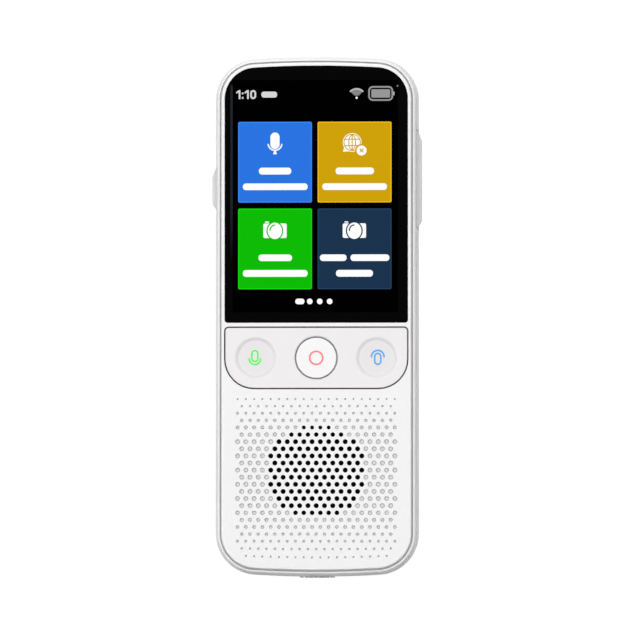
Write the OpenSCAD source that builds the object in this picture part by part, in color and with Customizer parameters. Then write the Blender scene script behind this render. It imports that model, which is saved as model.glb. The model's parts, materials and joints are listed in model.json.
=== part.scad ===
// Handheld voice translator: a slim hand-held case with a touch screen, three front keys,
// a speaker grille and a key on each side.
// It lies on its back. X is the width, Y runs from the charging port to the top, and Z is
// the thickness. The origin is the middle of the flat back.

/* [Case] */
// Width over the widest line of the case
case_w = 51; // [49:0.5:54]
// Length of the case
case_l = 130.5; // [128:0.5:136]
// Thickness from the flat back to the front plate
case_t = 13; // [12.8:0.1:14]
// Radius of the case's four corners, seen from the front
corner_r = 10.45; // [9.5:0.05:11]
// Radius of the shallow bow at both ends
end_bow_r = 260; // [200:10:400]
// Side wall of the rear cover
wall_t = 1.5; // [1.3:0.1:1.6]
// Floor of the rear cover
back_t = 1.3; // [1.2:0.05:1.4]
// Radius of the rounded back edge
back_round = 5; // [4:0.5:5.5]
// Depth of the seam round the side below the front face
parting_d = 3.95; // [3.9:0.05:4.1]
// Air gap at seams and loose fits
seam = 0.1; // [0.08:0.01:0.14]

/* [Trim ring] */
// How far the trim ring lies inside the case's widest line
trim_inset = 0.55; // [0.45:0.05:0.65]
// Width of the trim ring's visible shoulder
trim_w = 0.75; // [0.7:0.05:0.85]
// Height from the trim ring's upper edge to the front face
trim_drop = 0.7; // [0.5:0.05:0.9]
// Height of the trim ring's rounded shoulder
trim_round = 0.9; // [0.6:0.05:1.4]
// Width of the ledge that carries the front plate
trim_ledge = 0.95; // [0.9:0.05:1]
// Width of the groove round the front plate
groove_w = 0.4; // [0.3:0.05:0.45]

/* [Front plate] */
// Thickness of the front plate
plate_t = 1.6; // [1.5:0.05:1.7]
// Rounding of the front plate's edge
plate_round = 0.5; // [0.3:0.05:0.6]
// Thickness of the skirt that drops into the trim ring
skirt_t = 1; // [0.8:0.05:1.1]
// Height of that skirt
skirt_h = 1.8; // [1.5:0.1:1.9]
// Thickness of the ribs round the key opening and the speaker
rib_t = 1; // [0.8:0.05:1.1]

/* [Screen] */
// Thickness of the cover glass
glass_t = 0.9; // [0.7:0.05:1]
// Rim of the front plate that shows beside the glass
glass_rim = 0.9; // [0.9:0.05:1.2]
// Lower edge of the glass
glass_foot_y = -1.7; // [-1.7:0.05:-1.4]
// Radius of the glass's lower corners
glass_foot_r = 0.75; // [0.5:0.05:1]
// Black border of the glass beside the display
lcd_side = 2.3; // [2:0.05:2.6]
// Black border of the glass above the display
lcd_head = 4.75; // [4.4:0.05:5.2]
// Black border of the glass below the display
lcd_foot = 2.05; // [1.9:0.05:2.4]
// Thickness of the display panel
lcd_t = 1.4; // [1.3:0.05:1.5]
// Thickness of the backlight
backlight_t = 1.6; // [1.5:0.05:1.65]

/* [Front keys] */
// Rim of the front plate beside the key panel, to the middle of the gap round the panel
panel_rim = 0.875; // [0.85:0.025:1.3]
// Height of the key panel
panel_h = 15.4; // [15:0.1:15.8]
// Middle of the key panel along the case
panel_y = -10.46; // [-10.6:0.02:-10.4]
// Radius of the key panel's lower corners
panel_low_r = 7.4; // [6:0.1:7.6]
// Radius of the key panel's upper corners
panel_top_r = 1; // [0.8:0.1:1.5]
// Gap round each front key
key_gap = 0.3; // [0.25:0.01:0.35]
// Diameter of the centre key, to the middle of the gap round it
key_d = 10.4; // [10:0.1:10.6]
// Distance of each side dish's middle from the panel's side
dish_in = 7.795; // [7.5:0.005:8.1]
// Outer diameter of the side dishes
dish_d = 10.8; // [10.4:0.1:11]
// Diameter of the flat bottom of the side dishes
dish_floor_d = 8.4; // [8:0.1:8.6]
// Depth of the side dishes
dish_depth = 0.6; // [0.35:0.05:0.65]
// Travel of the centre key
key_travel = 0.35; // [0.3:0.05:0.4]
// Tilt of the key panel to each side, in degrees
rocker_tilt = 1.2; // [0.8:0.1:1.3]
// Radius of the key panel's pivot stubs
pivot_r = 0.45; // [0.4:0.01:0.5]
// Running clearance in small bores
bore_gap = 0.06; // [0.05:0.01:0.08]
// How far the symbols lie outwards of the dishes' middles
icon_out = 0.25; // [0:0.01:0.3]
// Thickness of the coloured symbols let into the keys
icon_t = 0.15; // [0.1:0.01:0.2]
// Line width of the coloured symbols
icon_line = 0.44; // [0.35:0.01:0.5]

/* [Grille] */
// Number of rows
row_count = 23; // [23:1:23]
// Number of holes in the first row
column_count = 20; // [20:1:20]
// Plain border beside the grille
grille_side = 4.135; // [4:0.005:4.3]
// Plain border below the grille
grille_foot = 3.718; // [3.5:0.002:4]
// Distance from the key panel's lower edge to the first row
first_row_d = 2.6; // [2.5:0.05:2.7]
// Diameter of the open sound holes
sound_hole_d = 1.25; // [0.9:0.05:1.25]
// Diameter of the largest blind dimples
dimple_d = 1.25; // [1.1:0.05:1.3]
// Depth of the blind dimples
dimple_depth = 0.5; // [0.4:0.05:0.6]
// Radius of the round field of open holes
open_field_r = 12.05; // [12.05:0.01:12.1]

/* [Side keys] */
// Length of the power key
power_l = 10.4; // [9:0.2:12]
// Middle of the power key along the case
power_y = 32.1; // [31.5:0.1:33]
// Length of the volume key
volume_l = 24; // [23:0.2:24]
// Middle of the volume key along the case
volume_y = 34.5; // [33:0.1:34.6]
// Height of the side keys through the case's thickness
side_key_h = 3.4; // [3:0.1:3.5]
// How far the side keys stand out of the case
side_key_out = 0.8; // [0.6:0.05:1]
// Distance from the volume key's pivot to each of its switches
volume_switch_y = 6.5; // [6:0.1:7]
// Travel of the power key
power_travel = 0.3; // [0.2:0.05:0.35]
// Tilt of the volume key to each side, in degrees
volume_tilt = 1.6; // [1:0.1:1.8]

/* [Speaker] */
// Outer diameter of the speaker
speaker_d = 29; // [28.4:0.1:29.4]
// Depth of the speaker's basket
basket_h = 2.4; // [2.2:0.1:2.6]
// Outer diameter of the magnet cup
cup_d = 18.6; // [18:0.2:19]
// Depth of the magnet cup
cup_h = 2.7; // [2.6:0.1:2.8]
// Largest travel of the speaker cone each way
cone_travel = 0.3; // [0.2:0.05:0.35]

/* [Inside] */
// Distance from the front face to the inner frame
frame_d = 4.6; // [4.6:0.05:4.7]
// Thickness of the inner frame
frame_t = 0.8; // [0.7:0.05:0.9]
// Thickness of the circuit boards
board_t = 0.8; // [0.7:0.05:0.9]
// Thickness of flexible circuits
flex_t = 0.14; // [0.1:0.01:0.15]
// Length of the main board
main_l = 28.75; // [28.5:0.05:29]
// Distance from the inner frame's edge to the battery
battery_side = 4.8; // [4.8:0.1:5.8]
// Battery length
battery_l = 44; // [42:0.5:44]
// Battery thickness
battery_t = 5.4; // [5:0.1:5.5]
// Width of the keypad board
keypad_w = 42; // [40:0.5:42.5]
// Length of the lower board
sub_l = 8; // [8:0.1:8.5]
// Width of the antenna sheet
antenna_w = 30; // [20:1:34]
// Length of the antenna sheet
antenna_l = 9; // [8:0.5:12]
// Shank radius of the case screws
screw_r = 0.75; // [0.7:0.05:0.8]
// Head radius of the case screws
screw_head_r = 1.4; // [1.3:0.05:1.5]
// Head height of the case screws
screw_head_h = 0.7; // [0.6:0.05:0.8]
// Width of a switch body
switch_w = 3.6; // [3.4:0.1:3.8]
// Height of a switch body
switch_h = 1.15; // [1.1:0.05:1.2]
// Radius of a switch plunger
plunger_r = 0.9; // [0.8:0.05:1]

/* [Camera] */
// Distance of the camera from the case's side
camera_side = 13.5; // [13.5:0.5:14.5]
// Distance of the camera from the top end
camera_head = 15.25; // [14.75:0.5:16.25]
// Side of the square camera module
camera_w = 8.5; // [8:0.1:8.6]
// Radius of the camera window
window_r = 4.2; // [4:0.1:4.4]
// Width of the ring round the camera window
window_ring = 0.8; // [0.6:0.1:0.9]
// Distance from the camera to the flash
flash_dx = 9; // [8.6:0.2:10]
// Radius of the flash lens
flash_r = 1.8; // [1.6:0.1:2]

/* [Charging port] */
// Outer width of the port's metal shell
port_w = 8.94; // [8.9:0.01:9]
// Outer height of the port's metal shell
port_h = 3.16; // [3.1:0.02:3.2]
// Depth of the port
port_l = 7.35; // [7:0.05:7.5]
// Wall of the port's shell
port_wall = 0.3; // [0.2:0.02:0.32]
// How far the port's shell stands out of the case
port_out = 0.2; // [0:0.05:0.3]
// Height of the port's middle above the back
port_z = 6.3; // [6.2:0.05:6.4]

/* [Hidden] */
$fn = 48;
big = 200;     // larger than the case, for cuts that run right through
eps = 0.01;    // overlap that makes cuts and joins clean

// Heights, counted up from the back
front_z = case_t;
plate_z = case_t - plate_t;              // underside of the front plate
parting_z = case_t - parting_d;          // seam between the rear cover and the trim ring
frame_top = case_t - frame_d;            // front face of the inner frame
frame_low = frame_top - frame_t;         // rear face of the inner frame
board_low = frame_low - 0.4 - board_t;   // rear face of the main board
board_top = board_low + board_t;
glass_low = case_t - 0.05 - glass_t;
key_top = case_t - 0.05;
key_low = plate_z - 0.05;                // underside of the key panel
keypad_z = frame_top + 0.01;             // rear face of the keypad board
keypad_t = 0.6;
keypad_top = keypad_z + keypad_t;
ledge_z = plate_z - 0.15;                // top of the trim ring's ledge
skirt_z = plate_z - skirt_h;

// Insets from the case's outline
plate_off = trim_inset + trim_w + groove_w;
glass_off = plate_off + glass_rim;
trim_in_off = trim_inset + trim_w + trim_ledge;
skirt_gap = 0.25;                        // between the front plate's skirt and the trim ring
skirt_off = trim_in_off + skirt_gap;
skirt_in_off = skirt_off + skirt_t;
frame_gap = 0.2;                         // between the inner frame and the rear cover
frame_off = wall_t + frame_gap;

// Sizes that follow the outline
panel_w = case_w - 2 * (plate_off + panel_rim);
dish_x = panel_w / 2 - dish_in;
lcd_w = case_w - 2 * (glass_off + lcd_side);
lcd_y0 = glass_foot_y + lcd_foot;
lcd_l = case_l / 2 - glass_off - lcd_head - lcd_y0;
camera_x = case_w / 2 - camera_side;
camera_y = case_l / 2 - camera_head;

// Outline of the case, inset by a distance
corner_x = case_w / 2 - corner_r;
bow_y = case_l / 2 - end_bow_r;
corner_y = bow_y + sqrt(pow(end_bow_r - corner_r, 2) - pow(corner_x, 2));
corner_a = acos(corner_x / (end_bow_r - corner_r));
corner_steps = 20;
bow_steps = 8;
function arc(x, y, r, a0, a1, steps) =
    [for (i = [0 : steps]) let (a = a0 + (a1 - a0) * i / steps) [x + r * cos(a), y + r * sin(a)]];
function bow(off) =
    [for (i = [1 : bow_steps - 1]) let (a = corner_a + (180 - 2 * corner_a) * i / bow_steps)
        [(end_bow_r - off) * cos(a), bow_y + (end_bow_r - off) * sin(a)]];
function top_half(off) = concat(
    arc(corner_x, corner_y, corner_r - off, 0, corner_a, corner_steps), bow(off),
    arc(-corner_x, corner_y, corner_r - off, 180 - corner_a, 180, corner_steps));
function ring(off) = let (top = top_half(off)) concat(top, [for (p = top) -p]);

// Outline of the glass: the case's upper outline, cut off square at the foot
function glass_ring(off, foot = glass_foot_y, r = glass_foot_r) = let (x = case_w / 2 - off - r) concat(
    top_half(off), arc(-x, foot + r, r, 180, 270, 4), arc(x, foot + r, r, 270, 360, 4));

// Outline of the key panel, grown by a distance, and of a plain rounded box
function box_ring(w, l, low_r, top_r, grow = 0, steps = 6) = concat(
    arc(w / 2 - low_r, low_r - l / 2, low_r + grow, 270, 360, steps),
    arc(w / 2 - top_r, l / 2 - top_r, top_r + grow, 0, 90, steps),
    arc(top_r - w / 2, l / 2 - top_r, top_r + grow, 90, 180, steps),
    arc(low_r - w / 2, low_r - l / 2, low_r + grow, 180, 270, steps));
function panel_ring(grow) = box_ring(panel_w, panel_h, panel_low_r, panel_top_r, grow, 8);

// A closed solid through a stack of outlines that have as many points each
module loft(outlines, heights) {
    n = len(outlines[0]);
    last = len(outlines) - 1;
    polyhedron(
        points = [for (k = [0 : last]) for (p = outlines[k]) [p[0], p[1], heights[k]]],
        faces = concat(
            [[for (i = [0 : n - 1]) i]],
            [[for (i = [n - 1 : -1 : 0]) last * n + i]],
            [for (k = [0 : last - 1]) for (i = [0 : n - 1]) let (j = (i + 1) % n)
                [k * n + i, (k + 1) * n + i, (k + 1) * n + j, k * n + j]]));
}
// The same through insets of the case's outline, each given as [inset, height]
module case_loft(levels) loft([for (l = levels) ring(l[0])], [for (l = levels) l[1]]);
module slab(outline, z0, z1) translate([0, 0, z0]) linear_extrude(z1 - z0) polygon(outline);
module block(x0, x1, y0, y1, z0, z1) translate([x0, y0, z0]) cube([x1 - x0, y1 - y0, z1 - z0]);
module rod(x, y, r, z0, z1) translate([x, y, z0]) cylinder(r = r, h = z1 - z0);
module tube(x, y, r_out, r_in, z0, z1) difference() {
    rod(x, y, r_out, z0, z1);
    rod(x, y, r_in, z0 - eps, z1 + eps);
}
// A flat strip that follows points in the Y-Z plane, between two values of X
module strip(x0, x1, outline) translate([x0, 0, 0]) rotate([90, 0, 90])
    linear_extrude(x1 - x0) polygon(outline);

// --- Places of the fasteners -------------------------------------------------------------
boss_r = 1.6;
boss_weld = 0.3;                         // how far a side boss runs into the skirt
top_boss_gap = 0.35;                     // between a top boss and the skirt
top_boss_in = 3.05;                      // from the start of the corner arc to a top boss
mid_boss_d = 3.3;                        // from the key panel to the boss below it
low_boss_in = 7;                         // from the case's side to a low boss
low_boss_up = 7.5;                       // from the case's lower end to a low boss
case_screw_at = [for (s = [-1, 1]) each [
    [s * (corner_x - top_boss_in), case_l / 2 - skirt_in_off - boss_r - top_boss_gap],
    [s * (case_w / 2 - skirt_in_off - boss_r + boss_weld), panel_y - panel_h / 2 - mid_boss_d],
    [s * (case_w / 2 - low_boss_in), low_boss_up - case_l / 2]]];
frame_edge_x = case_w / 2 - frame_off;
board_side = 3.8;                        // from the inner frame's edge to the main board
board_half_w = frame_edge_x - board_side;
board_head = 8.2;                        // from the case's top end to the main board
board_y1 = case_l / 2 - board_head;
board_y0 = board_y1 - main_l;
post_r = 1.8;                            // posts of the inner frame under the boards' screws
post_in = 2.8;                           // from the main board's edges to its screws
main_screw_at = [[board_half_w - post_in, board_y0 + post_in],
    [post_in - board_half_w, board_y0 + post_in], [post_in - board_half_w, board_y1 - post_in]];
sub_foot = 3;                            // from the case's lower end to the lower board
sub_side = 5.2;                          // from the inner frame's edge to the lower board
sub_post_in = 5.6;                       // from the lower board's ends to its screws
sub_post_up = 5;                         // from the lower board's outer edge to its screws
sub_y0 = sub_foot - case_l / 2;
sub_y1 = sub_y0 + sub_l;
sub_half_w = frame_edge_x - sub_side;
sub_low = port_z - board_t / 2;
sub_top = sub_low + board_t;
sub_screw_at = [for (s = [1, -1]) [s * (sub_half_w - sub_post_in), sub_y0 + sub_post_up]];

// --- Case --------------------------------------------------------------------------------
side_key_z1 = parting_z - seam;          // upper side of the side keys, just under the trim ring
side_key_z0 = side_key_z1 - side_key_h;
side_key_z = (side_key_z0 + side_key_z1) / 2;
slot_gap = 0.2;
low_dent = [1.2, 0.45];                  // length and depth of the dent below a key's lower end
top_dent = [0.4, 0.2];                   // and of the one above its upper end
mic_x = -4;
mic_z = board_low - 0.55;
bottom_mic_x = 10;
bottom_mic_z = sub_low - 0.55;
mic_hole_r = 0.5;
flash_x = camera_x - flash_dx;
pocket_gap = 0.05;
window_pocket = 0.75;                    // depth of the pocket that holds the camera window
barrel_r = 3.2;
snap_at = [-46, -16, 12, 52];
snap_l = 5;
snap_h = 0.8;

module key_slot(side, length, y) {
    half = length / 2 + slot_gap;
    x = case_w / 2 - wall_t - 1;
    mirror([side < 0 ? 1 : 0, 0, 0]) {
        block(x, big, y - half, y + half, side_key_z0 - slot_gap, big);
        block(case_w / 2 - low_dent[1], big, y - half - low_dent[0], y,
            side_key_z0 - slot_gap - 0.3, big);
        block(case_w / 2 - top_dent[1], big, y, y + half + top_dent[0],
            side_key_z0 - slot_gap - 0.3, big);
    }
}

module rear_cover() color("whitesmoke") {
    steps = 6;
    inner_r = back_round - wall_t;
    difference() {
        case_loft(concat(
            [for (i = [0 : steps]) let (t = 90 * i / steps)
                [back_round * (1 - sin(t)), back_round * (1 - cos(t))]],
            [[0.06, parting_z - 1], [0.2, parting_z - 0.3], [0.42, parting_z]]));
        case_loft(concat(
            [for (i = [0 : 4]) let (t = 90 * i / 4)
                [wall_t + inner_r * (1 - sin(t)), back_t + inner_r * (1 - cos(t))]],
            [[wall_t, parting_z + 1]]));
        key_slot(1, volume_l, volume_y);
        key_slot(-1, power_l, power_y);
        // charging port, microphones, camera and flash
        translate([0, -case_l / 2 + wall_t + 1, port_z]) port_prism(seam, wall_t + 3);
        translate([mic_x, case_l / 2 - wall_t - 1, mic_z]) rotate([-90, 0, 0])
            cylinder(r = mic_hole_r, h = wall_t + 3);
        translate([bottom_mic_x, -case_l / 2 + wall_t + 1, bottom_mic_z]) rotate([90, 0, 0])
            cylinder(r = mic_hole_r, h = wall_t + 3);
        rod(camera_x, camera_y, window_r + window_ring + pocket_gap, -1, window_pocket);
        rod(camera_x, camera_y, barrel_r + 0.3, 0, back_t + eps);
        rod(flash_x, camera_y, flash_r + pocket_gap, -1, back_t + eps);
        // pockets for the inner frame's snaps
        for (s = [-1, 1], y = snap_at)
            translate([s * (case_w / 2 - wall_t), y, frame_low + 0.2 + snap_h / 2])
                cube([2 * 0.3, snap_l + 0.6, snap_h + 0.4], center = true);
    }
}

module trim_ring() color("gainsboro") difference() {
    case_loft([[trim_inset + 0.06, parting_z + seam], [trim_inset, parting_z + seam + 0.15],
        for (i = [0 : 5]) let (t = 90 * i / 5)
            [trim_inset + 0.85 * trim_w * (1 - cos(t)), front_z - trim_drop - trim_round * (1 - sin(t))]]);
    slab(ring(trim_inset + trim_w), ledge_z, big);
    slab(ring(trim_in_off), 0, big);
}

first_y = panel_y - panel_h / 2 - first_row_d;
row_pitch = (first_y + case_l / 2 - plate_off - grille_foot) / (row_count - 1);
hole_pitch = (case_w - 2 * plate_off - 2 * grille_side) / (column_count - 1);
speaker_row = 10;                        // the row over the middle of the speaker
top_dots = [0.5, 0.125];                 // diameter in the first row, and its growth from row to row
low_dots = [0.55, 0.1];                  // the same from the last row upwards
full_dot_d = 1.25;                       // diameter at which the growth stops
module grille_tools() {
    for (i = [0 : row_count - 1]) {
        count = column_count - (i == row_count - 1 ? 2 : i % 2);
        share = min(1, (top_dots[0] + top_dots[1] * i) / full_dot_d,
            (low_dots[0] + low_dots[1] * (row_count - 1 - i)) / full_dot_d);
        for (k = [0 : count - 1]) {
            x = (k - (count - 1) / 2) * hole_pitch;
            sag = i < row_count - 2 ? 0 : (i == row_count - 2 ? 0.2 : 0.5) * (1 - pow(x / 20, 2));
            y = first_y - i * row_pitch - sag;
            open = norm([x, y - speaker_y]) <= open_field_r && abs(i - speaker_row) <= 6;
            if (open) rod(x, y, sound_hole_d / 2 * share, plate_z - 1, front_z + 1);
            else dimple(x, y, dimple_d / 2 * share);
        }
    }
}
// A blind hollow with a sloped wall round a flat floor, nearly a plain cone where it is small
module dimple(x, y, r) {
    floor_r = max(0.05, r - 0.28);
    over = 0.1;
    translate([x, y, front_z - dimple_depth])
        cylinder(r1 = floor_r, r2 = r + (r - floor_r) * over / dimple_depth, h = dimple_depth + over);
}

speaker_x = 0;
speaker_y = first_y - speaker_row * row_pitch - 0.3;
core_off = plate_off + plate_round + 0.1;
lcd_y = lcd_y0 + lcd_l / 2;
window_gap = 0.15;

module front_shell() color("white") {
    // rounded edge of the plate
    difference() {
        case_loft([[plate_off, plate_z], [plate_off, front_z - plate_round],
            for (i = [1 : 4]) let (t = 90 * i / 4)
                [plate_off + plate_round * (1 - cos(t)), front_z - plate_round * (1 - sin(t))]]);
        slab(ring(core_off), plate_z - 1, front_z + 1);
    }
    // the plate itself, with the glass bay, the key opening and the grille
    difference() {
        slab(ring(core_off), plate_z, front_z);
        slab(glass_ring(glass_off - 0.06), glass_low - seam, big);
        translate([0, lcd_y]) slab(box_ring(lcd_w, lcd_l, 2, 2, window_gap), 0, big);
        translate([0, panel_y]) slab(panel_ring(key_gap / 2), 0, big);
        grille_tools();
    }
    // skirt inside the trim ring
    difference() {
        slab(ring(skirt_off), skirt_z, plate_z);
        slab(ring(skirt_in_off), skirt_z - 1, big);
        translate([0, panel_y]) slab(panel_ring(key_gap / 2), key_low - 0.65, big);
    }
    // rib round the key opening, with the bores for the panel's pivot stubs
    difference() {
        translate([0, panel_y]) slab(panel_ring(key_gap / 2 + rib_t), pivot_z - 0.95, plate_z);
        translate([0, panel_y]) slab(panel_ring(key_gap / 2), 0, big);
        translate([0, panel_y + panel_h, pivot_z]) rotate([90, 0, 0])
            cylinder(r = pivot_r + bore_gap, h = 2 * panel_h);
        for (s = [-1, 1]) block(s > 0 ? case_w / 2 - skirt_in_off + eps : -big,
            s > 0 ? big : skirt_in_off - eps - case_w / 2, -big, big, 0, big);
    }
    // ring that centres the speaker
    tube(speaker_x, speaker_y, speaker_d / 2 + 0.2 + rib_t, speaker_d / 2 + 0.2,
        plate_z - 2, plate_z);
    // screw bosses
    for (p = case_screw_at) tube(p[0], p[1], boss_r, screw_r + bore_gap, frame_top + 0.05,
        p[1] > 0 ? glass_low - seam - 0.3 : plate_z);
}

rail_x = lcd_w / 2 - 2.1;
display_flex_w = 10;
display_flex_x = 4 - board_half_w;
keypad_flex_w = 6;
module mid_frame() color("dimgray") {
    mid_frame_plate();
    // tongue that carries the volume key's fulcrum
    block(side_switch_x - flex_t - 0.5, flange_x - fulcrum_r - 0.01, volume_y - 1, volume_y + 1,
        frame_low, frame_top);
}
module mid_frame_plate() difference() {
    union() {
        difference() {
            slab(ring(frame_off), frame_low, parting_z + seam - 0.05);
            slab(ring(trim_in_off), frame_top, big);
        }
        for (s = [-1, 1], y = snap_at)
            translate([s * frame_edge_x, y, frame_low + 0.2 + snap_h / 2])
                cube([2 * 0.35, snap_l, snap_h], center = true);
        for (p = main_screw_at) rod(p[0], p[1], post_r, board_top, frame_low + eps);
        for (p = sub_screw_at) rod(p[0], p[1], post_r, sub_top, frame_low + eps);
        // rails under the screen
        for (s = [-1, 1]) block(s * rail_x - 0.6, s * rail_x + 0.6, lcd_y0 + 3, lcd_y0 + lcd_l - 3,
            frame_top - eps, backlight_low);
        // backing ribs behind the side switches
        rib_x = side_switch_x - flex_t - 0.04;
        block(rib_x - 0.5, rib_x, volume_y - volume_switch_y - 3, volume_y + volume_switch_y + 3,
            side_key_z0, frame_low + eps);
        block(-rib_x, 0.5 - rib_x, power_y - 3, power_y + 3, side_key_z0, frame_low + eps);
    }
    for (p = case_screw_at) rod(p[0], p[1], screw_r + 0.15, 0, big);
    for (p = concat(main_screw_at, sub_screw_at))
        rod(p[0], p[1], screw_r + bore_gap, 0, frame_top - 0.2);
    rod(speaker_x, speaker_y, speaker_d / 2 + 0.35, 0, big);
    // room for the side keys and their switches
    block(side_switch_x - flex_t - 0.03, big, volume_y - volume_l / 2 - 1.2,
        volume_y + volume_l / 2 + 1.2, 0, big);
    block(-big, flex_t + 0.03 - side_switch_x, power_y - power_l / 2 - 1.2,
        power_y + power_l / 2 + 1.2, 0, big);
    // room for the charging port, and slots for the flexible circuits
    block(-port_w / 2 - 0.4, port_w / 2 + 0.4, -big, port_y0 + port_l + 0.4, 0, big);
    block(display_flex_x - 1, display_flex_x + display_flex_w + 1, board_y0 + 0.2, board_y0 + 2, 0, big);
    block(-keypad_flex_w / 2 - 0.6, keypad_flex_w / 2 + 0.6, board_y0 + 0.2, board_y0 + 2, 0, big);
}

// A screw with a domed head and a cross socket, its head below the seat and its shank above
module screw(p, seat, length) difference() {
    union() {
        rod(p[0], p[1], screw_head_r, seat - screw_head_h, seat);
        rod(p[0], p[1], screw_r, seat - eps, seat + length);
    }
    for (turn = [0, 90]) translate([p[0], p[1], seat - screw_head_h]) rotate(turn)
        cube([1.5, 0.35, 0.7], center = true);
}
module case_screws() color("silver") for (p = case_screw_at) screw(p, frame_low, 2.6);
module board_screws() color("silver") {
    for (p = main_screw_at) screw(p, board_low, frame_top - 0.25 - board_low);
    for (p = sub_screw_at) screw(p, sub_low, frame_top - 0.25 - sub_low);
}

// --- Screen ------------------------------------------------------------------------------
module touch_glass() color("black") slab(glass_ring(glass_off), glass_low, glass_low + glass_t);

module glass_tape() color("gray") difference() {
    slab(glass_ring(glass_off + 0.15), glass_low - seam, glass_low);
    translate([0, lcd_y]) slab(box_ring(lcd_w, lcd_l, 2, 2, window_gap + 0.1), 0, big);
}

lcd_top = glass_low - 0.01;
lcd_low = lcd_top - lcd_t;
backlight_top = lcd_low - 0.01;
backlight_low = backlight_top - backlight_t;
module display_panel() color("darkslateblue")
    translate([0, lcd_y]) slab(box_ring(lcd_w, lcd_l, 2, 2), lcd_low, lcd_top);
module backlight() color("white")
    translate([0, lcd_y]) slab(box_ring(lcd_w - 0.6, lcd_l - 0.6, 2, 2), backlight_low, backlight_top);

// Flexible circuit from the display's foot, back under it and through the frame to the board
module display_flex() color("orange") {
    y = lcd_y0;
    z = lcd_low + 0.2;
    strip(display_flex_x, display_flex_x + display_flex_w, [
        [y, z], [y, z + flex_t], [y - 0.9, z + flex_t], [y - 0.9, frame_top + 0.05],
        [board_y0 + 1.2, frame_top + 0.05], [board_y0 + 1.2, board_top],
        [board_y0 + 1.2 + flex_t, board_top], [board_y0 + 1.2 + flex_t, frame_top + 0.05 + flex_t],
        [y - 0.9 + flex_t, frame_top + 0.05 + flex_t], [y - 0.9 + flex_t, z]]);
}

// --- Front keys --------------------------------------------------------------------------
pivot_z = plate_z - pivot_r - bore_gap - 0.15;    // axis of the key panel
cap_r = key_d / 2 - key_gap / 2;
cap_low = key_low - 0.6;
flange_r = cap_r + key_gap + 0.5;
switch_top = keypad_top + switch_h;
plunger_low = switch_top - 0.4;

module capsule(x, y, w, l) {
    translate([x, y]) square([w, l - w], center = true);
    for (s = [-1, 1]) translate([x, y + s * (l - w) / 2]) circle(d = w);
}
// Outline microphone: a capsule over the arc of its stand
module symbol_2d(capsule_y, arc_y, arc_r) {
    capsule_w = 1.95;
    capsule_l = 3.15;
    difference() {
        capsule(0, capsule_y, capsule_w, capsule_l);
        capsule(0, capsule_y, capsule_w - 2 * icon_line, capsule_l - 2 * icon_line);
    }
    translate([0, arc_y]) difference() {
        circle(r = arc_r + icon_line / 2);
        circle(r = arc_r - icon_line / 2);
        translate([-2 * arc_r, 0]) square([4 * arc_r, 2 * arc_r]);
    }
    for (s = [-1, 1]) translate([s * arc_r, arc_y]) circle(d = icon_line);
}
module ring_2d() difference() {
    circle(r = 1.63 + icon_line / 2);
    circle(r = 1.63 - icon_line / 2);
}
module left_mark(z1) translate([-dish_x - icon_out, panel_y, dish_floor_z - icon_t])
    linear_extrude(z1 - dish_floor_z + icon_t) symbol_2d(0.46, -0.23, 1.42);
module right_mark(z1) translate([dish_x + icon_out, panel_y, dish_floor_z - icon_t]) rotate(180)
    linear_extrude(z1 - dish_floor_z + icon_t) symbol_2d(0.25, -0.29, 1.57);

// Soft-edged round hollow, revolved from a cosine curve
module dish(x) translate([x, panel_y, 0]) rotate_extrude() polygon(concat(
    [[0, key_top + 1], [0, key_top - dish_depth]],
    [for (i = [0 : 8]) let (r = dish_floor_d / 2 + (dish_d - dish_floor_d) / 2 * i / 8)
        [r, key_top - dish_depth * (1 + cos(180 * i / 8)) / 2]],
    [[dish_d / 2, key_top + 1]]));

dish_floor_z = key_top - dish_depth;
module key_plate() color("whitesmoke") {
    edge = 0.25;
    difference() {
        translate([0, panel_y]) loft(
            [for (g = [0, 0, 0.08, 0.25]) panel_ring(-key_gap / 2 - g)],
            [key_low, key_top - edge, key_top - 0.08, key_top]);
        rod(0, panel_y, cap_r + key_gap, 0, big);
        translate([0, panel_y, key_top - edge])
            cylinder(r1 = cap_r + key_gap, r2 = cap_r + key_gap + edge + eps, h = edge + eps);
        for (s = [-1, 1]) dish(s * dish_x);
        left_mark(front_z + 1);
        right_mark(front_z + 1);
    }
    // pivot stubs, each carried by a lug under the plate
    for (s = [-1, 1]) {
        edge_y = panel_h / 2 - key_gap / 2;
        translate([0, panel_y + s * edge_y, 0]) {
            block(-0.9, 0.9, s > 0 ? -1 : 0.1, s > 0 ? -0.1 : 1, pivot_z - pivot_r - 0.1, key_low + eps);
            translate([0, s * 0.95, pivot_z]) rotate([s * 90, 0, 0])
                cylinder(r = pivot_r, h = 1.5);
        }
    }
}
module left_symbol() color("lime") left_mark(dish_floor_z + 0.02);
module right_symbol() color("dodgerblue") right_mark(dish_floor_z + 0.02);

module centre_key() color("white") difference() {
    translate([0, panel_y, 0]) rotate_extrude() polygon(concat(
        [[0, cap_low], [flange_r, cap_low], [flange_r, cap_low + 0.4], [cap_r, cap_low + 0.4]],
        [for (i = [0 : 4]) let (t = 90 * i / 4)
            [cap_r - 0.3 * (1 - cos(t)), key_top - 0.3 * (1 - sin(t))]],
        [[0, key_top]]));
    translate([0, panel_y, key_top - icon_t]) linear_extrude(1) ring_2d();
}
module centre_symbol() color("tomato")
    translate([0, panel_y, key_top - icon_t]) linear_extrude(icon_t + 0.02) ring_2d();

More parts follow.
